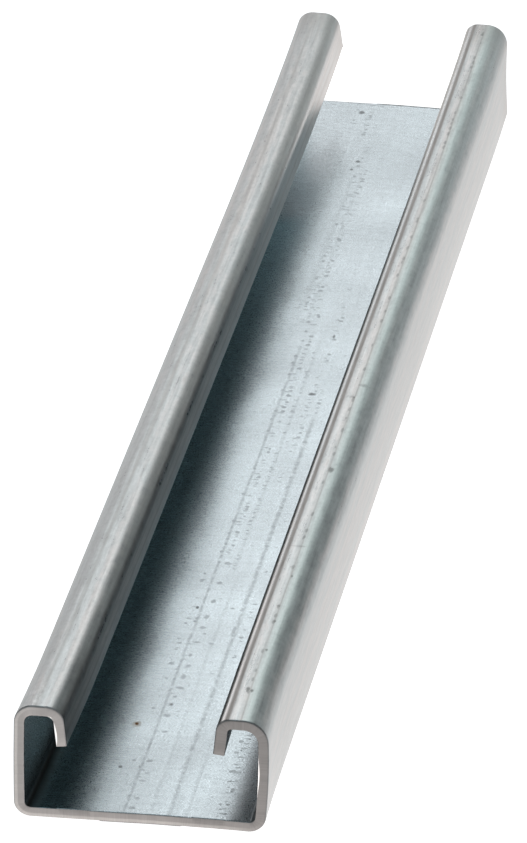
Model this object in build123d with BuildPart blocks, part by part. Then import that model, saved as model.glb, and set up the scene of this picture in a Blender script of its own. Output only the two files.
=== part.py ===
"""Shallow strut channel: a cut length of galvanised steel strip, roll formed into a C with in-turned lips.

The channel lies on its web with the slot facing up. X runs across it, Y along it and Z up, and the
origin is the centre of the web's underside. Sizes are in millimetres and angles in degrees.
"""

from build123d import *

import os
from math import radians, tan

# The channel and its strip
channel_length = 300.0
channel_width = 41.3  # over the outsides of the two side walls
channel_height = 20.6  # from the web's underside to the tops of the lips
strip_thickness = 1.8

# The lips that turn in over the channel, and the returns that turn down from them
lip_reach = 8.9  # from a wall's outside to the slot, at the return's lower edge
return_depth = 6.8  # from the top of the lip to the return's lower edge
return_lean = 6.5  # how far the rolls left the return short of square

# Inside radii of the three bends on each side
web_bend = 0.9
shoulder_bend = 1.5
return_bend = 0.8

# Edges
slit_edge_round = 0.25  # where the strip was slit to width, along the returns
cut_edge_break = 0.15  # deburring all round the two cut ends


# One half of the section's outside, from the return's lower edge round to the foot of the wall.
# Each point is the corner where two flats would meet if the bend between them were sharp.
wall_outside = channel_width / 2
return_edge = wall_outside - lip_reach
return_top = return_edge + return_depth * tan(radians(return_lean))
half_outline = [
    (return_edge, channel_height - return_depth),
    (return_top, channel_height),
    (wall_outside, channel_height),
    (wall_outside, 0),
]
half_bends = [return_bend, shoulder_bend, web_bend]

# The whole outside is that half and its mirror image. A bend's outside radius is its inside radius
# plus the strip's thickness, so the strip keeps one thickness all the way round.
outline = half_outline + [(-across, up) for across, up in reversed(half_outline)]
outside_radii = [bend + strip_thickness for bend in half_bends + half_bends[::-1]]


# The channel: the section of the rolled strip, drawn out along Y to both sides of the origin.
with BuildPart() as strut_channel:
    with BuildSketch(Plane.XZ) as section:
        with BuildLine():
            strip_outside = FilletPolyline(*outline, radius=outside_radii)
            offset(strip_outside, amount=strip_thickness, side=Side.RIGHT)
        make_face()
        for slit_edge in (strip_outside @ 0, strip_outside @ 1):
            slit_corners = section.vertices().sort_by_distance(slit_edge)[:2]
            fillet(slit_corners, radius=slit_edge_round)
    extrude(amount=channel_length / 2, both=True)

    faces_along = strut_channel.faces().sort_by(Axis.Y)
    cut_ends = faces_along[:1] + faces_along[-1:]
    chamfer(cut_ends.edges(), length=cut_edge_break)

strut_channel.part.label = "strut_channel"

os.makedirs("parts", exist_ok=True)
export_step(strut_channel.part, "parts/strut_channel.step")

print("box", strut_channel.part.bounding_box())
print("section area", round(section.sketch.area, 2))
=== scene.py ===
# %% [markdown]
# # A short length of strut channel
#
# Strut channel is what pipes, cable trays and brackets are hung from. It starts as a flat strip of
# galvanised steel. Rolls fold the strip into a C with in-turned lips, and a shear cuts it to length.
# This lesson makes it the same way: a flat strip first, then the folds, then the steel's thickness,
# and last the zinc, the bare cut ends, and a plain studio to look at it in.

from math import cos, pi, radians, sin, tan

import bpy
from mathutils import Matrix, Vector, noise


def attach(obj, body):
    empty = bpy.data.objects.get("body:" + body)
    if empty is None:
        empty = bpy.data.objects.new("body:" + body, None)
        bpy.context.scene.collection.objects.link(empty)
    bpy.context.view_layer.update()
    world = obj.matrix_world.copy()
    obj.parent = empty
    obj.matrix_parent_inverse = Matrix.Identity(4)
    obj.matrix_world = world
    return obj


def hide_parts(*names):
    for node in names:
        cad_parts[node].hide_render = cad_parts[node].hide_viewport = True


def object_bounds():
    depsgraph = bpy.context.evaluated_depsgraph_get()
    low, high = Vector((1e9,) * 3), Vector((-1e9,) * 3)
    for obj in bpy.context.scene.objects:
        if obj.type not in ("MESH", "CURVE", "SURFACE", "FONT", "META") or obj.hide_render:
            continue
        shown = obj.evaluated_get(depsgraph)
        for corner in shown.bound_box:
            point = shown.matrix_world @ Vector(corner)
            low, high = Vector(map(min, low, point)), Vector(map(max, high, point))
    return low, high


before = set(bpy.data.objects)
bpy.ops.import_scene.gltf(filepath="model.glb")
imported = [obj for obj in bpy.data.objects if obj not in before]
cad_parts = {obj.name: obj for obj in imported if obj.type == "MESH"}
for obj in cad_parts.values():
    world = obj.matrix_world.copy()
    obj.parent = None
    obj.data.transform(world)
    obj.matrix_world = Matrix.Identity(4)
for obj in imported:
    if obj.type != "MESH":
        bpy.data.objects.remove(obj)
cad_low, cad_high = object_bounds()
print("channel box", tuple(cad_low), tuple(cad_high))

# %% [markdown]
# ## The sizes of the section
#
# The outside sizes come from the frame. The rest are the channel's own: the strip's thickness, how
# far each lip reaches in, and how far its return turns down. The rolls leave the two sides a little
# different, so what differs is given for the left side and the right side.

# %% Name the sizes, in metres
MM = 0.001
channel_length = cad_high.y - cad_low.y
channel_width = cad_high.x - cad_low.x
channel_height = cad_high.z - cad_low.z
strip_thickness = 1.8 * MM
lip_reach = 8.9 * MM
burr_height = 0.12 * MM
web_bend = 0.9 * MM
rolled_sides = {
    "left": {
        "turn": -1, "shoulder_bend": 1.3 * MM, "return_bend": 1.3 * MM,
        "lean": radians(6.5), "return_depth": 7.0 * MM,
    },
    "right": {
        "turn": 1, "shoulder_bend": 2.3 * MM, "return_bend": 0.6 * MM,
        "lean": radians(7.0), "return_depth": 6.5 * MM,
    },
}


# %% [markdown]
# ## Where the strip is folded
#
# Every bend is a run of small folds. Rolling hardly stretches the middle of the strip's thickness, so
# the lengths are measured there: a bend takes its middle radius times its angle out of the strip.
# The list below walks outwards from the middle of the web and says, for each stretch, how wide it is
# on the flat strip and how far it turns.

# %% Work out one side's flats and bends
def side_stretches(side):
    """The stretches of one side, from the web's middle out: (width on the strip, angle it turns)."""
    middle = strip_thickness / 2
    lean, depth = side["lean"], side["return_depth"]
    last_turn = pi / 2 - lean
    corner = lambda bend: bend + strip_thickness
    last_corner = corner(side["return_bend"]) * tan(last_turn / 2)
    lip_top = lip_reach - depth * tan(lean)
    return [
        (channel_width / 2 - corner(web_bend), 0),
        ((web_bend + middle) * pi / 2, pi / 2),
        (channel_height - corner(web_bend) - corner(side["shoulder_bend"]), 0),
        ((side["shoulder_bend"] + middle) * pi / 2, pi / 2),
        (lip_top - corner(side["shoulder_bend"]) - last_corner, 0),
        ((side["return_bend"] + middle) * last_turn, last_turn),
        (depth / cos(lean) - last_corner, 0),
    ]


FOLDS_PER_BEND = 10
COLUMN_WIDTH = 1.4 * MM


def side_columns(side):
    """Where the strip is divided on one side: (distance from the web's middle, fold angle there)."""
    columns, start = [], 0.0
    for width, turn in side_stretches(side):
        count = FOLDS_PER_BEND if turn else max(2, round(width / COLUMN_WIDTH))
        step = turn / count
        if turn:
            # a chord is a touch shorter than its arc
            radius = width / turn
            width = count * 2 * radius * sin(step / 2)
            columns[-1] = (columns[-1][0], step / 2)
        for k in range(1, count + 1):
            fold = step if k < count else step / 2
            columns.append((start + width * k / count, fold))
        start += width
    return columns


for name, side in rolled_sides.items():
    side["columns"] = side_columns(side)
    side["edge"] = side["columns"][-1][0]
    print(name, "side takes", round(side["edge"] / MM, 2), "mm of strip")


# %% [markdown]
# ## The flat strip
#
# The strip is one plane, cut to its width and length, with a cut line at each column. While it is
# still flat, its own place on the strip goes into a UV map, in metres: across in U and along in V.
# The map stays with the steel as it is folded, so marks that the rolls leave can follow it.

# %% Make the flat strip and its map
def show_only(obj):
    """Select one object and nothing else."""
    bpy.ops.object.select_all(action="DESELECT")
    obj.select_set(True)
    bpy.context.view_layer.objects.active = obj


bpy.ops.object.select_all(action="DESELECT")
strip_left = -rolled_sides["left"]["edge"]
strip_right = rolled_sides["right"]["edge"]
strip_length = channel_length - 2 * burr_height
bpy.ops.mesh.primitive_plane_add(size=1, location=((strip_left + strip_right) / 2, 0, strip_thickness / 2))
channel = bpy.context.object
channel.name = "rolled_channel"
channel.scale = (strip_right - strip_left, strip_length, 1)
bpy.ops.object.transform_apply(location=True, rotation=True, scale=True)

bpy.ops.object.mode_set(mode="EDIT")
divisions = [0.0]
for side in rolled_sides.values():
    divisions += [side["turn"] * column for column, fold in side["columns"][:-1]]
for across in divisions:
    bpy.ops.mesh.select_all(action="SELECT")
    bpy.ops.mesh.bisect(plane_co=(across, 0, 0), plane_no=(1, 0, 0))
bpy.ops.object.mode_set(mode="OBJECT")

strip = channel.data
while strip.uv_layers:
    strip.uv_layers.remove(strip.uv_layers[0])
strip_map = strip.uv_layers.new(name="strip")
for loop in strip.loops:
    strip_map.data[loop.index].uv = strip.vertices[loop.vertex_index].co.xy
flat_across = [vertex.co.x for vertex in strip.vertices]
print("strip", len(strip.vertices), "points,", len(strip.polygons), "faces")

# %% [markdown]
# ## Folding
#
# Roll forming folds the strip from its edges inwards, and so does this loop. At each column it
# selects all the steel further out and turns it a few degrees about that line. Because everything
# further in is still flat, the line to turn about is always in the plane of the web.

# %% Fold both sides, from the edges in
def select_vertices(obj, chosen):
    """Select these vertices of an object in vertex mode, and leave it in edit mode."""
    bpy.ops.object.mode_set(mode="EDIT")
    bpy.ops.mesh.select_mode(type="VERT")
    bpy.ops.mesh.select_all(action="DESELECT")
    bpy.ops.object.mode_set(mode="OBJECT")
    for vertex in obj.data.vertices:
        vertex.select = chosen(vertex)
    bpy.ops.object.mode_set(mode="EDIT")


SAME_PLACE = 0.001 * MM
show_only(channel)
for side in rolled_sides.values():
    for column, fold in reversed(side["columns"]):
        if not fold:
            continue
        outward = side["turn"]
        select_vertices(channel, lambda vertex: flat_across[vertex.index] * outward > column + SAME_PLACE)
        bpy.ops.transform.rotate(
            value=fold * outward, orient_axis="Y", orient_type="GLOBAL",
            center_override=(column * outward, 0, strip_thickness / 2),
        )
        bpy.ops.object.mode_set(mode="OBJECT")
heights = [vertex.co.z for vertex in strip.vertices]
print("folded up to", round(max(heights) / MM, 2), "mm")
print("folded across", round(min(v.co.x for v in strip.vertices) / MM, 2), round(max(v.co.x for v in strip.vertices) / MM, 2))

# %% [markdown]
# ## Rows along the length
#
# The folded strip still runs from end to end in single long faces. Cut lines across it give the shape
# something to vary on. They stand close together near the two ends, where the shear has marked the
# steel, and are evenly spaced between.

# %% Divide the channel along its length
END_ROWS = [0.4 * MM, 1.0 * MM, 2.0 * MM]
ROW_LENGTH = 2.5 * MM

bpy.ops.object.mode_set(mode="EDIT")
for end in (-1, 1):
    for inset in END_ROWS:
        bpy.ops.mesh.select_all(action="SELECT")
        bpy.ops.mesh.bisect(plane_co=(0, end * (strip_length / 2 - inset), 0), plane_no=(0, 1, 0))
bpy.ops.mesh.select_mode(type="EDGE")
bpy.ops.mesh.select_all(action="DESELECT")
bpy.ops.object.mode_set(mode="OBJECT")
for edge in strip.edges:
    near, far = (strip.vertices[k].co for k in edge.vertices)
    edge.select = (near - far).length > strip_length / 2
bpy.ops.object.mode_set(mode="EDIT")
bpy.ops.mesh.subdivide(number_cuts=round(strip_length / ROW_LENGTH))
bpy.ops.object.mode_set(mode="OBJECT")
print("channel", len(strip.vertices), "points")

# %% [markdown]
# ## What rolling leaves behind
#
# Rolled steel is never quite flat. The web keeps long shallow waves, which show only in how the light
# runs over it. The waves are a slow noise, raised from the floor and never sunk below it, and they
# die out towards the bends, which hold the web straight.

# %% Give the web its waves
WAVE_HEIGHT = 0.30 * MM
WAVE_ACROSS = 11 * MM
WAVE_ALONG = 15 * MM

web_half = channel_width / 2 - web_bend - strip_thickness
for vertex in strip.vertices:
    across = abs(vertex.co.x) / web_half
    if vertex.co.z > strip_thickness or across >= 1:
        continue
    wave = noise.noise(Vector((vertex.co.x / WAVE_ACROSS, vertex.co.y / WAVE_ALONG, 0.3)))
    vertex.co.z += WAVE_HEIGHT * (0.5 + 0.5 * wave) * (1 - across ** 2)

# %% [markdown]
# ## The steel's thickness
#
# The folded sheet is the middle of the steel. Solidify gives it thickness by half to each side, so
# every stretch keeps the place it was folded to. A second map is written at once, while inside and
# outside are easy to tell apart: U runs from 0 on the outside to 1 on the inside.

# %% Thicken the channel and map its depth
bpy.ops.object.mode_set(mode="EDIT")
bpy.ops.mesh.select_all(action="SELECT")
bpy.ops.mesh.flip_normals()
bpy.ops.object.mode_set(mode="OBJECT")
middle_points = [vertex.co.copy() for vertex in strip.vertices]
thicken = channel.modifiers.new("thickness", "SOLIDIFY")
thicken.thickness = strip_thickness
thicken.offset = 0
thicken.use_even_offset = True
bpy.ops.object.modifier_apply(modifier=thicken.name)

half = len(strip.vertices) // 2
web_point = min(range(half), key=lambda k: middle_points[k].length)
first_is_inside = strip.vertices[web_point].co.z > middle_points[web_point].z
depth_map = strip.uv_layers.new(name="depth")
for loop in strip.loops:
    in_first_half = loop.vertex_index < half
    depth_map.data[loop.index].uv = (float(in_first_half == first_is_inside), 0)
print("thickened to", len(strip.vertices), "points; box", [round(v / MM, 3) for v in channel.dimensions])
print("first half inside:", first_is_inside)

# %% [markdown]
# ## The sheared ends
#
# A shear drags the steel as it cuts. Where the blade goes in, on the channel's outside, the edge is
# rolled over into a soft round. Where it comes out, on the inside, it leaves a thin, ragged burr. The
# outside edges get a wide bevel and the inside edges a fine one, and the slit edges are rounded too.

# %% Roll over the outside edges and round the inside and slit edges
ROLLOVER = 0.3 * MM
BURR_WIDTH = 0.16 * MM
SLIT_ROUND = (0.42 * MM, 0.22 * MM)


def bevel_edges(obj, chosen, width, segments):
    """Bevel every edge whose two end points are both among the chosen ones."""
    bpy.ops.object.mode_set(mode="EDIT")
    bpy.ops.mesh.select_mode(type="EDGE")
    bpy.ops.mesh.select_all(action="DESELECT")
    bpy.ops.object.mode_set(mode="OBJECT")
    for edge in obj.data.edges:
        edge.select = chosen.issuperset(edge.vertices)
    bpy.ops.object.mode_set(mode="EDIT")
    bpy.ops.mesh.bevel(offset=width, segments=segments, affect="EDGES")
    bpy.ops.object.mode_set(mode="OBJECT")


def points_of_face(mesh, inside):
    """The numbers of the points on the inside or the outside face of the steel."""
    depths = mesh.uv_layers["depth"].data
    return {loop.vertex_index for loop in mesh.loops if abs(depths[loop.index].uv.x - inside) < 0.01}


def points_at_cut(mesh):
    """The numbers of the points that lie in the plane of either cut end."""
    return {v.index for v in mesh.vertices if abs(v.co.y) > strip_length / 2 - SAME_PLACE}


def points_at_slit(mesh):
    """The numbers of the points along the strip's two slit edges."""
    places = mesh.uv_layers["strip"].data
    return {
        loop.vertex_index for loop in mesh.loops
        if min(abs(places[loop.index].uv.x - edge) for edge in (strip_left, strip_right)) < SAME_PLACE
    }


for inside, width, segments in ((0, ROLLOVER, 3), (1, BURR_WIDTH, 2)):
    bevel_edges(channel, points_of_face(strip, inside) & points_at_cut(strip), width, segments)
for inside, width in enumerate(SLIT_ROUND):
    bevel_edges(channel, points_of_face(strip, inside) & points_at_slit(strip), width, 3 - inside)
print("with its edges", len(strip.vertices), "points")

# %% [markdown]
# ## How the cut ends spring
#
# Rolling leaves the steel under stress, and the shear lets some of it go. Near a cut end the tops of
# the walls stand a little away from where the rolls put them, and the shear itself was not quite
# square to the strip. Both fade out within a few centimetres.

# %% Spring the ends and cut them out of square
cut_ends = (
    {
        "end": -1, "reach": 30 * MM, "askew": radians(2.0),
        "left": {"foot": -0.45 * MM, "belly": -0.30 * MM, "top": -0.42 * MM, "slit": 0.0},
        "right": {"foot": 0.05 * MM, "belly": 0.50 * MM, "top": 0.38 * MM, "slit": -0.42 * MM},
    },
    {
        "end": 1, "reach": 95 * MM, "askew": radians(0.3),
        "left": {"foot": 0.0, "belly": -0.20 * MM, "top": -1.05 * MM, "slit": 0.0},
        "right": {"foot": 0.0, "belly": -0.48 * MM, "top": -0.45 * MM, "slit": 0.0},
    },
)
SHEAR_REACH = 22 * MM
FOOT_FROM = 12 * MM
SLIT_FROM = 16 * MM
for cut in cut_ends:
    for vertex in strip.vertices:
        place = vertex.co
        from_cut = channel_length / 2 - place.y * cut["end"]
        if from_cut > max(cut["reach"], SHEAR_REACH):
            continue
        spring = cut["left"] if place.x < 0 else cut["right"]
        height = min(1, max(0, place.z / channel_height))
        sprung = max(0, 1 - from_cut / cut["reach"]) ** 2
        sheared_off = max(0, 1 - from_cut / SHEAR_REACH) ** 2
        foot = spring["foot"] * (1 - height) ** 2 * max(0, (abs(place.x) - FOOT_FROM) / (channel_width / 2 - FOOT_FROM))
        belly = spring["belly"] * 4 * height * (1 - height)
        on_lip = place.z > channel_height / 2
        slit = spring["slit"] * on_lip * min(1, max(0, (SLIT_FROM - abs(place.x)) / (SLIT_FROM - FOOT_FROM)))
        place.y += place.x * tan(cut["askew"]) * sheared_off
        place.x += spring["top"] * height ** 1.5 * sprung + (foot + belly + slit) * sheared_off
strip.update()

# %% [markdown]
# ## Smooth and flat shading
#
# Every face is shaded smooth, so that the bends and rounded edges catch light like bent steel. The
# normals are weighted by area, which keeps the broad flats flat right up to the bends.

# %% Shade the channel
show_only(channel)
bpy.ops.object.shade_smooth()
weigh = channel.modifiers.new("weighted normals", "WEIGHTED_NORMAL")
weigh.weight = 60
bpy.ops.object.modifier_apply(modifier=weigh.name)

# %% [markdown]
# ## Writing finishes as sums
#
# A finish is a small sum over the steel: so much of one noise, less another, where a mask allows it.
# Signal wraps a node's output so that the sum can be written as one. Finish holds the material and
# has one method that adds any other node.

# %% A signal and a finish
class Signal:
    """An output of a shader node, on which Python's own operators add Math nodes."""

    def __init__(self, finish, socket):
        self.finish = finish
        self.socket = socket

    def __add__(self, other):
        return self.finish.maths("ADD", self, other)

    def __sub__(self, other):
        return self.finish.maths("SUBTRACT", self, other)

    def __mul__(self, other):
        return self.finish.maths("MULTIPLY", self, other)

    def __truediv__(self, other):
        return self.finish.maths("DIVIDE", self, other)

    def __rsub__(self, other):
        return self.finish.maths("SUBTRACT", other, self)

    def __rtruediv__(self, other):
        return self.finish.maths("DIVIDE", other, self)

    __radd__ = __add__
    __rmul__ = __mul__

    def size(self):
        """The value without its sign."""
        return self.finish.maths("ABSOLUTE", self)

    def most(self, other):
        """The larger of two values."""
        return self.finish.maths("MAXIMUM", self, other)

    def between(self, low, high):
        """0 below low, 1 above high, and smooth between; low may be above high, which turns it round."""
        limits = {"Value": self, "From Min": min(low, high), "From Max": max(low, high)}
        limits.update({"To Min": float(low > high), "To Max": float(low < high)})
        return self.finish.node("ShaderNodeMapRange", {"interpolation_type": "SMOOTHSTEP"}, limits)["Result"]


class Finish:
    """A material, with one method that adds any node and a few for the usual ones."""

    def __init__(self, name):
        self.material = bpy.data.materials.new(name)
        self.material.use_nodes = True
        self.tree = self.material.node_tree
        self.tree.nodes.clear()

    def node(self, kind, settings=None, sockets=None):
        """Add a node, set it up, fill or link its sockets, and return its outputs by name."""
        node = self.tree.nodes.new(kind)
        for setting, value in (settings or {}).items():
            setattr(node, setting, value)
        for name, value in (sockets or {}).items():
            socket = next(s for s in node.inputs if s.enabled and name in (s.name, s.identifier))
            if isinstance(value, Signal):
                self.tree.links.new(value.socket, socket)
            else:
                socket.default_value = value
        return {s.name: Signal(self, s) for s in node.outputs if s.enabled}

    def maths(self, operation, *values):
        """A Math node on one or two values."""
        names = ("Value", "Value_001")
        return self.node("ShaderNodeMath", {"operation": operation}, dict(zip(names, values)))["Value"]

    def axes(self, place):
        """The X, Y and Z of a vector."""
        return self.node("ShaderNodeSeparateXYZ", {}, {"Vector": place})

    def mix(self, first, second, factor):
        """One colour turned into another by a factor."""
        sockets = {"Factor": factor, "A": first, "B": second}
        settings = {"data_type": "RGBA", "clamp_factor": True}
        return self.node("ShaderNodeMix", settings, sockets)["Result"]

    def shade(self, colour, amount):
        """A colour made lighter or darker by an amount around 1."""
        grey = self.node("ShaderNodeCombineXYZ", {}, {"X": amount, "Y": amount, "Z": amount})["Vector"]
        settings = {"data_type": "RGBA", "blend_type": "MULTIPLY", "clamp_factor": True}
        return self.node("ShaderNodeMix", settings, {"Factor": 1.0, "A": colour, "B": grey})["Result"]

    def surface(self, shader):
        """Close the material with its surface."""
        self.node("ShaderNodeOutputMaterial", {}, {"Surface": shader})
        return self.material


class SteelFinish(Finish):
    """A finish on the channel, with the steel's own coordinates: millimetres, and depth from 0 to 1."""

    def __init__(self, name):
        super().__init__(name)
        strip_place = self.axes(self.node("ShaderNodeUVMap", {"uv_map": "strip"})["UV"])
        self.across = strip_place["X"] / MM
        self.along = strip_place["Y"] / MM
        self.depth = self.axes(self.node("ShaderNodeUVMap", {"uv_map": "depth"})["UV"])["X"]

    def grain(self, wide, long, seed, detail=2.0):
        """Noise from about -1 to 1 with grains so many millimetres wide across and long along."""
        sockets = {"X": self.across / wide, "Y": self.along / long, "Z": seed}
        place = self.node("ShaderNodeCombineXYZ", {}, sockets)["Vector"]
        noise_sockets = {"Vector": place, "Scale": 1.0, "Detail": detail, "Roughness": 0.55}
        return (self.node("ShaderNodeTexNoise", {}, noise_sockets)["Fac"] - 0.5) * 3

    def finish_with(self, colour, roughness, height, metallic=1.0):
        """Close the material: its colour, its roughness, and its relief in millimetres."""
        bump = {"Height": height, "Distance": MM, "Strength": 1.0}
        normal = self.node("ShaderNodeBump", {}, bump)["Normal"]
        sockets = {"Base Color": colour, "Roughness": roughness, "Metallic": metallic, "Normal": normal}
        return self.surface(self.node("ShaderNodeBsdfPrincipled", {}, sockets)["BSDF"])


# %% [markdown]
# ## The galvanised inside
#
# Zinc is soft, and it keeps a mark of everything that has touched it. On the inside the mill's fine
# cross lines still show, with pores that the rolls have pressed into lanes, and a few long lines
# where the strip ran over a guide. The bare pores are rough, so they look dark in a bright
# reflection and light in a dark one.

# %% Marks on the zinc
def line_along(finish, place, width, start=None, end=None):
    """A mask of a line along the strip, 1 in its middle and 0 at its width to either side."""
    mask = (finish.across - place).size().between(width, 0)
    if start is not None:
        mask = mask * finish.along.between(start - 4, start + 4) * finish.along.between(end + 4, end - 4)
    return mask


def spots(finish, places, ragged):
    """A mask of spots with ragged edges, from a list of (across, along, half width, half length)."""
    mask = 0.0
    for across, along, wide, long in places:
        sideways = (finish.across - across) / wide
        lengthways = (finish.along - along) / long
        distance = sideways * sideways + lengthways * lengthways + ragged
        mask = distance.between(1.1, 0.2).most(mask)
    return mask


def pores(finish, wide, long, seed, density, ragged):
    """Pores, at most one in each cell so wide and long; density says how many show and how large."""
    sockets = {"X": finish.across / wide, "Y": finish.along / long + seed}
    place = finish.node("ShaderNodeCombineXYZ", {}, sockets)["Vector"]
    voronoi = {"Vector": place, "Scale": 1.0}
    cells = finish.node("ShaderNodeTexVoronoi", {"voronoi_dimensions": "2D"}, voronoi)
    luck = finish.axes(cells["Color"])["X"]
    radius = finish.maths("MINIMUM", density - luck, 0.30)
    return (cells["Distance"] + ragged - radius).between(0.10, -0.08)


# %% Make the inside finish
INSIDE_ZINC = (0.410, 0.460, 0.485, 1)
PORE_GREY = (0.14, 0.15, 0.155, 1)
# Near-black painted shade for the inner corners between the web and the walls.
PAINTED_CORNER_SHADE = (0.03, 0.035, 0.035, 1)
RUST_BROWN = (0.16, 0.085, 0.04, 1)
RUST_HALO = (0.60, 0.56, 0.50, 1)
# Teal painted shade for the web's left side, in the pocket under the left lip.
TEAL_POCKET_SHADE = (0.27, 0.44, 0.49, 1)
INSIDE_LINES = (
    (-2.65, 0.45, 0.40, -150, 35), (4.60, 0.65, 0.40, -150, 5), (1.5, 0.6, 0.14, -150, -60),
    (7.5, 0.5, 0.20, -150, -105), (0.6, 0.5, 0.14, -60, 40), (-4.9, 0.6, 0.16, 55, 115), (-3.2, 0.5, 0.16, 50, 115),
    (5.6, 0.9, 0.10, -150, -90),
)
PORE_LANES = (
    (-2.8, 1.1, 0.45, -150, -70), (-2.65, 1.0, 0.60, -60, 52), (-1.4, 1.0, 0.65, -55, 50), (0.7, 1.2, 0.45, -60, 35),
    (3.0, 1.3, 0.50, -30, 65), (4.6, 1.0, 0.50, -75, 15), (-4.3, 1.6, 0.35, -105, -55), (5.8, 1.4, 0.35, -95, -55),
    (-4.9, 1.4, 0.60, 50, 125), (-3.0, 1.6, 0.70, 45, 118), (12.9, 2.2, 0.70, -150, -115), (-7.0, 4.5, 0.50, 132, 150),
)
BLOTS = (
    (-1.0, -56.0, 0.7, 0.8), (-1.1, -64.0, 0.6, 0.8), (-1.0, -71.0, 0.5, 0.9), (-1.2, -77.0, 0.6, 0.8),
    (-1.2, -81.0, 0.7, 0.6), (-0.5, -83.4, 0.4, 0.5), (-1.3, -87.0, 0.8, 0.5), (-1.5, -92.0, 0.4, 0.6),
    (-1.2, -96.0, 0.6, 0.8), (-1.3, -100.0, 0.5, 1.0), (-1.3, -104.2, 0.9, 0.6), (-1.5, -107.5, 0.4, 0.5),
    (-1.6, -110.5, 0.45, 0.7), (-1.7, -114.6, 0.9, 0.7), (-1.2, -120.3, 0.7, 0.6), (-1.7, -131.2, 0.7, 0.6),
    (-1.3, -135.6, 0.6, 0.5), (-1.5, -138.4, 0.7, 0.5), (-1.4, -144.6, 0.6, 0.5), (-1.6, -148.0, 0.7, 0.6),
    (4.3, -81.5, 0.4, 2.4), (-4.5, -86.0, 0.5, 0.3), (-4.1, -101.0, 0.4, 0.3), (-4.3, -112.3, 0.5, 0.4),
    (-4.2, -131.4, 0.4, 0.5), (2.7, -73.0, 0.5, 0.35), (3.3, -98.0, 0.5, 0.3), (1.3, -87.0, 0.6, 0.7),
)
LOOSE_PORES = (
    (-3.4, -73.7, 0.35, 0.6), (2.75, 15.0, 0.8, 0.7), (-5.0, 121.0, 0.5, 0.7), (-5.6, 117.0, 0.4, 0.6),
    (-1.6, -110.5, 0.30, 0.5), (2.8, 40.5, 0.3, 0.8), (-7.8, 145.0, 0.7, 1.0), (-6.1, -134.0, 0.4, 0.6),
)
RUST_SPOT = (-6.1, -118.4)
# Where the corner shade is painted: across, half width and strength.
CORNER_SHADE_PLACES = ((-18.8, 2.6, 1.0), (18.8, 1.2, 0.6))


def galvanised_inside():
    finish = SteelFinish("galvanised_inside")
    straight = finish.across
    finish.across = straight + finish.grain(40, 14, 6.0, detail=3) * 0.14
    broken = finish.grain(1.2, 1.5, 7.0).between(-0.9, 0.4)
    lines, density = 0.0, 0.05
    for place, width, strength, start, end in INSIDE_LINES:
        lines = line_along(finish, place, width, start, end) * strength + lines
    for place, width, strength, start, end in PORE_LANES:
        density = (line_along(finish, place, width, start, end) * strength).most(density)
    finish.across = straight

    mottle = finish.grain(0.9, 1.0, 2.0)
    cloud = finish.grain(16, 30, 1.0)
    streaks = finish.grain(1.4, 70, 8.0, detail=1)
    patchy = density + cloud * 0.08 + mottle * 0.05
    round_pores = pores(finish, 1.5, 1.4, 0.0, patchy * 0.9, mottle * 0.06)
    flat_pores = pores(finish, 2.1, 0.9, 50.0, patchy * 0.8 + 0.10, mottle * 0.06)
    loose = spots(finish, LOOSE_PORES, mottle * 0.4)
    blots = spots(finish, BLOTS, mottle * 0.6)
    pitted = (round_pores * 0.46).most(flat_pores * 0.36).most(loose * 0.85)
    marks = (lines * broken).most(pitted).most(blots * 0.42)

    cross_lines = finish.grain(6, 0.9, 3.0)
    fine_lines = finish.grain(7, 0.4, 3.5)
    scratched = finish.grain(1.6, 0.3, 12.0)
    worn = line_along(finish, -13.5, 10.0) * 0.26 + 0.05
    # The web's colour is darker towards the near cut end.
    darker_near_end = finish.along.between(-70, -150)
    tone = 1 + cloud * 0.03 + mottle * 0.05 + cross_lines * 0.08 + streaks * 0.05 + scratched * worn - darker_near_end * 0.15
    # Painted shade: the web's left side, under the left lip, is tinted dark teal in place of its dark reflection.
    zinc = finish.mix(INSIDE_ZINC, TEAL_POCKET_SHADE, line_along(finish, -15.5, 7.5, -170, 92) * 0.85)
    colour = finish.mix(finish.shade(zinc, tone), PORE_GREY, marks)
    # Painted shade: the inner corners between the web and the walls are darkened nearly to black; the same mask makes
    # them rougher.
    corner_shade = 0.0
    for place, width, strength in CORNER_SHADE_PLACES:
        corner_shade = line_along(finish, place, width) * strength + corner_shade
    colour = finish.mix(colour, PAINTED_CORNER_SHADE, corner_shade)
    rust_across, rust_along = RUST_SPOT
    halo = spots(finish, [(rust_across, rust_along, 0.9, 1.2)], mottle * 0.3)
    rust = spots(finish, [(rust_across, rust_along, 0.42, 0.6)], mottle * 0.5)
    colour = finish.mix(finish.mix(colour, RUST_HALO, halo * 0.55), RUST_BROWN, rust)
    dull = finish.grain(0.35, 0.12, 9.0).between(-0.4, 0.4)
    roughness = 0.22 + dull * 0.16 + scratched * 0.055 + fine_lines * 0.02 + marks * 0.12 + halo * 0.2 + corner_shade * 0.4

    dimples = finish.grain(5, 7, 2.5, detail=1)
    height = cross_lines * 0.0025 + fine_lines * 0.0012 + dimples * 0.008
    return finish.finish_with(colour, roughness, height)


# %% [markdown]
# ## The galvanised outside
#
# The outside has been through the rolls, so it is duller and streaked along its length. The lips are
# polished in some strips and smeared in others, the tight bends are browner where the zinc is thin,
# and the right lip has a row of dark nicks beside its polished strip.

# %% Make the outside finish
OUTSIDE_ZINC = (0.350, 0.372, 0.376, 1)
WARM_ZINC = (0.370, 0.365, 0.361, 1)
GREEN_ZINC = (0.336, 0.376, 0.370, 1)
ROLL_BROWN = (0.215, 0.210, 0.200, 1)
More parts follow.
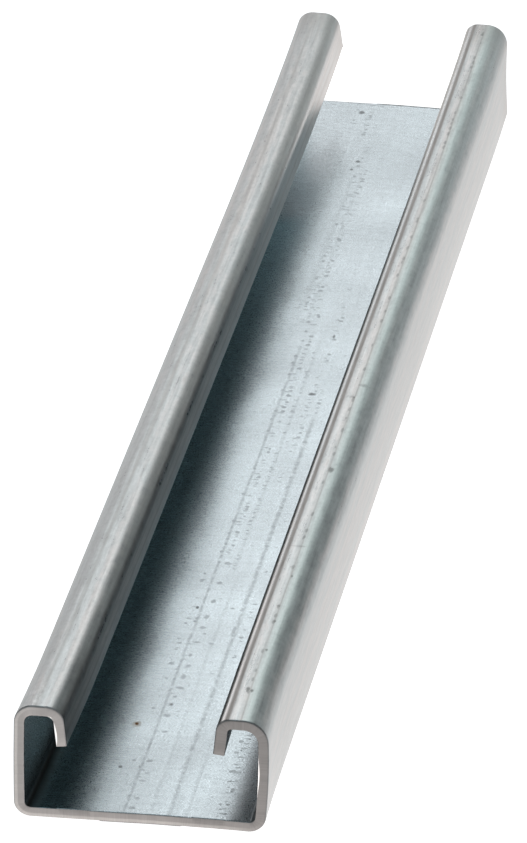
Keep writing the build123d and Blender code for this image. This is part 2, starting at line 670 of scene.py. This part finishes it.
# Light grey for scuffs on the left lip near the near cut end, partly real wear and partly a painted highlight.
SCUFF_AND_HIGHLIGHT_ZINC = (0.66, 0.68, 0.69, 1)
NICK_GREY = (0.13, 0.135, 0.13, 1)
POLISHED_LINES = ((40.96, 0.9, 0.9), (42.32, 0.32, 2.2), (-40.4, 0.8, 0.5), (-38.6, 0.8, 0.45), (-43.9, 0.4, 0.8))
DULL_LINES = (
    (39.96, 0.25, 0.6), (42.90, 0.50, 2.0), (41.86, 0.30, 1.6), (-39.5, 0.6, 0.4), (-42.9, 1.1, 0.5), (-46.5, 0.5, 0.6), (-44.9, 0.4, 0.4),
)
LIP_PORES = ((40.1, 0.9, 0.55), (38.9, 1.2, 0.12))
NICKS = (
    (39.6, -53.2, 0.50, 1.5), (39.75, -95.6, 0.20, 0.5), (40.2, -107.0, 0.4, 0.25),
    (39.9, -112.7, 0.35, 0.5), (39.6, -123.3, 0.25, 0.6), (40.4, -138.0, 0.35, 1.2), (39.7, -138.6, 0.3, 0.7),
    (40.1, -23.6, 0.25, 0.6), (40.1, 144.5, 0.3, 0.8),
)
SCRATCHES = ((40.2, -84.0, 1.6, 0.3), (39.2, -18.5, 0.9, 0.8), (40.8, -23.4, 0.8, 0.5))
FAR_SMUDGE = (132, 150)


def galvanised_outside():
    finish = SteelFinish("galvanised_outside")
    mottle = finish.grain(0.7, 1.1, 2.0)
    smears = finish.grain(0.8, 4.0, 4.5)
    streaks = finish.grain(0.45, 14, 4.0, detail=3)
    bands = finish.grain(1.8, 160, 5.0, detail=1)
    runs = finish.grain(3, 22, 7.0, detail=3).between(-0.7, 0.4)
    polished, dull = 0.0, 0.0
    for place, width, strength in POLISHED_LINES:
        polished = line_along(finish, place, width) * strength + polished
    for place, width, strength in DULL_LINES:
        dull = line_along(finish, place, width) * strength + dull
    density = -0.2
    for place, width, strength in LIP_PORES:
        density = (line_along(finish, place, width) * strength).most(density)
    lip_pores = pores(finish, 0.8, 2.6, 3.0, density + smears * 0.08, mottle * 0.08)
    scratches = spots(finish, SCRATCHES, mottle * 0.9)
    nicks = spots(finish, NICKS, mottle * 0.9).most(lip_pores * 0.6).most(scratches * 0.5)

    tone = 1 + mottle * 0.15 + streaks * 0.33 + smears * 0.29 + bands * 0.08 + polished * runs * 0.20
    warmth = (bands + smears * 0.5).between(-0.4, 0.6)
    colour = finish.mix(OUTSIDE_ZINC, WARM_ZINC, warmth)
    colour = finish.shade(finish.mix(colour, GREEN_ZINC, line_along(finish, 38.9, 1.6)), tone)
    smudge = (finish.along + smears * 4).between(*FAR_SMUDGE) * 0.45
    browned = (dull * (runs * 0.4 + 0.6)).most((streaks + smears).between(0.4, 1.6) * 0.5).most(smudge)
    colour = finish.mix(colour, ROLL_BROWN, browned)
    near_end = (finish.along * -1 + smears * 4).between(138, 147) * line_along(finish, -38.8, 1.6)
    # Scuffs on the left lip near the near end: real wear, with a painted highlight in their bright colour.
    scuffs_and_highlight = finish.grain(0.7, 1.8, 6.5).between(-0.1, 0.9) * near_end
    colour = finish.mix(finish.mix(colour, SCUFF_AND_HIGHLIGHT_ZINC, scuffs_and_highlight * 0.7), NICK_GREY, nicks * 0.6)
    roughness = 0.34 + (streaks + smears) * 0.05 + mottle * 0.04 - polished * 0.05 + nicks * 0.1
    height = streaks * 0.003 + bands * 0.004 + smears * 0.005 + mottle * 0.002
    return finish.finish_with(colour, roughness, height)


# %% [markdown]
# ## The sheared steel
#
# The cut ends are bare steel. From the outside inwards they are first burnished, where the blade
# slid along the steel, and then grey-brown and rough, where the steel tore. Along the inside edge
# slivers of burr are bent over; their glint is a painted highlight, near-white in the colour.

# %% Make the sheared finish
BURNISHED_STEEL = (0.46, 0.45, 0.44, 1)
TORN_STEEL = (0.330, 0.321, 0.315, 1)
DRAWN_ZINC = (0.30, 0.30, 0.30, 1)
# Near-white painted highlight for the glint of the burr slivers.
BURR_GLINT_WHITE = (0.90, 0.90, 0.89, 1)
BURNISHED_RUN = (-10.0, 32.0)
BURR_GLINT_RUNS = ((28.5, 7.0, 0.16), (-46.5, 4.5, 0.22), (-42.5, 2.0, 0.12))


def sheared():
    finish = SteelFinish("sheared_steel")
    uneven = finish.grain(2.5, 2.5, 21.0)
    place, reach = BURNISHED_RUN
    burnished_run = (finish.across - place).size().between(reach, reach * 0.75)
    burnished = (finish.depth + uneven * 0.05).between(0.44, 0.34) * burnished_run
    drag = finish.grain(0.25, 5, 22.0)
    fine = finish.grain(0.2, 0.2, 23.0)
    burr_glint_depth = -0.10
    for place, reach, depth in BURR_GLINT_RUNS:
        burr_glint_depth = (line_along(finish, place, reach) * (depth + 0.1) - 0.1).most(burr_glint_depth)
    burr_glint = (finish.depth + burr_glint_depth + uneven * 0.02).between(0.98, 1.03)
    colour = finish.mix(TORN_STEEL, BURNISHED_STEEL, burnished)
    colour = finish.mix(colour, DRAWN_ZINC, finish.depth.between(0.14, 0.04))
    colour = finish.shade(colour, 1 - finish.across / 230 + drag * 0.12 + fine * 0.08 + uneven * 0.10)
    # Painted highlight: along runs of the inside edge, the burr slivers' glint is painted as near-white colour.
    colour = finish.mix(colour, BURR_GLINT_WHITE, burr_glint)
    roughness = 0.62 - burr_glint * 0.25 + drag * 0.05
    return finish.finish_with(colour, roughness, fine * 0.004 + drag * 0.003)


# %% Give the faces their finishes
for finish in (galvanised_outside(), galvanised_inside(), sheared()):
    strip.materials.append(finish)
OUTSIDE_SLOT, INSIDE_SLOT, SHEARED_SLOT = 0, 1, 2
ACROSS_CUT = 0.6
depths = strip.uv_layers["depth"].data
for face in strip.polygons:
    middle_depth = sum(depths[loop].uv.x for loop in face.loop_indices) / face.loop_total
    face.material_index = OUTSIDE_SLOT if middle_depth < 0.5 else INSIDE_SLOT
    if abs(face.normal.y) > ACROSS_CUT or 0.1 < middle_depth < 0.9:
        face.material_index = SHEARED_SLOT

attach(channel, "root")
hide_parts("strut_channel")

# %% [markdown]
# ## The studio
#
# A white sheet for the channel to lie on, and one very large soft light, low behind it on the left.
# Bright metal shows mostly what is around it. The light shows in the web and the lip tops, the sheet
# shows in the wall, and the dim room beyond shows as the dark bands along the bends.

# %% Lay the sheet
SHEET_SIZE = 40.0
PAPER = (0.80, 0.80, 0.80, 1)
PAPER_GLOW = 0.90
NEAR_SHEET = (1.0, 0.95, 0.93, 1)
FAR_SHEET = (0.61, 0.63, 0.635, 1)
SHEET_IN_METAL = 1.62
SHEET_FADE = 0.006
SHEET_FADE_FROM = 0.02


def white_sheet():
    """White paper that the camera sees as white; bright metal sees it fade away from the channel."""
    finish = Finish("white_sheet")
    path = finish.node("ShaderNodeLightPath")
    paper = finish.node("ShaderNodeBsdfDiffuse", {}, {"Color": PAPER})["BSDF"]
    glow = finish.node("ShaderNodeEmission", {}, {"Strength": PAPER_GLOW})["Emission"]
    lit_paper = finish.node("ShaderNodeAddShader", {}, {"Shader": paper, "Shader_001": glow})["Shader"]
    sideways = finish.axes(finish.node("ShaderNodeTexCoord")["Object"])["X"].size()
    near = SHEET_FADE / ((sideways - SHEET_FADE_FROM).most(0.0) + SHEET_FADE)
    reflected = {"Color": finish.mix(FAR_SHEET, NEAR_SHEET, near), "Strength": SHEET_IN_METAL}
    in_metal = finish.node("ShaderNodeEmission", {}, reflected)["Emission"]
    to_camera = {"Fac": path["Is Camera Ray"], "Shader": paper, "Shader_001": lit_paper}
    seen = finish.node("ShaderNodeMixShader", {}, to_camera)["Shader"]
    to_metal = {"Fac": path["Is Glossy Ray"], "Shader": seen, "Shader_001": in_metal}
    return finish.surface(finish.node("ShaderNodeMixShader", {}, to_metal)["Shader"])


bpy.ops.object.select_all(action="DESELECT")
bpy.ops.mesh.primitive_plane_add(size=SHEET_SIZE)
sheet = bpy.context.object
sheet.name = "sheet"
sheet.data.materials.append(white_sheet())


# %% Light it
def soft_light(name, azimuth, elevation, tilt, distance, wide, high, radiance, colour):
    """A rectangular light that faces the channel and is as bright as a surface of that radiance."""
    lamp = bpy.data.lights.new(name, "AREA")
    lamp.shape = "RECTANGLE"
    lamp.size, lamp.size_y = wide, high
    lamp.color = colour
    lamp.energy = radiance * pi * wide * high
    light = bpy.data.objects.new(name, lamp)
    flat = cos(elevation) * distance
    light.location = (sin(azimuth) * flat, cos(azimuth) * flat, sin(elevation) * distance)
    facing = light.location.to_track_quat("Z", "Y").to_matrix()
    light.rotation_euler = (facing @ Matrix.Rotation(tilt, 3, "Z")).to_euler()
    bpy.context.scene.collection.objects.link(light)
    return light


soft_light("window", radians(-17.5), radians(21.5), radians(-50), 6.0, 6.7, 1.77, 1.51, (1.0, 0.97, 0.97))
soft_light("side_window", radians(9.7), radians(19), radians(54), 6.0, 7.3, 1.20, 1.95, (0.93, 1.0, 1.0))
soft_light("ceiling", 0, radians(90), 0, 6.0, 6.0, 6.0, 0.82, (0.80, 0.94, 1.0))
soft_light("front_wall", radians(180), radians(28), 0, 6.0, 9.0, 5.0, 0.44, (0.95, 0.98, 1.0))
soft_light("left_wall", radians(-88), radians(25), 0, 6.0, 5.0, 5.0, 0.55, (0.95, 0.98, 1.0))
soft_light("right_wall", radians(88), radians(25), 0, 6.0, 5.0, 5.0, 0.45, (0.95, 0.98, 1.0))
world = bpy.data.worlds.new("room")
bpy.context.scene.world = world
world.use_nodes = True
room = world.node_tree.nodes["Background"]
room.inputs["Color"].default_value = (0.010, 0.012, 0.012, 1)

# %% Place the camera
AZIMUTH, ELEVATION, ROLL = radians(8.94), radians(25.58), radians(0.79)
DISTANCE = 1.493
LENS = 351.5
LOOK_AT = Vector((-3.9, 0.3, 2.8)) * MM

camera_data = bpy.data.cameras.new("camera")
camera_data.lens = LENS
camera = bpy.data.objects.new("camera", camera_data)
bpy.context.scene.collection.objects.link(camera)
back = Vector((sin(AZIMUTH) * cos(ELEVATION), -cos(AZIMUTH) * cos(ELEVATION), sin(ELEVATION)))
turned = back.to_track_quat("Z", "Y").to_matrix() @ Matrix.Rotation(ROLL, 3, "Z")
camera.matrix_world = Matrix.Translation(LOOK_AT + back * DISTANCE) @ turned.to_4x4()
bpy.context.scene.camera = camera
bpy.context.scene.view_settings.view_transform = "Standard"
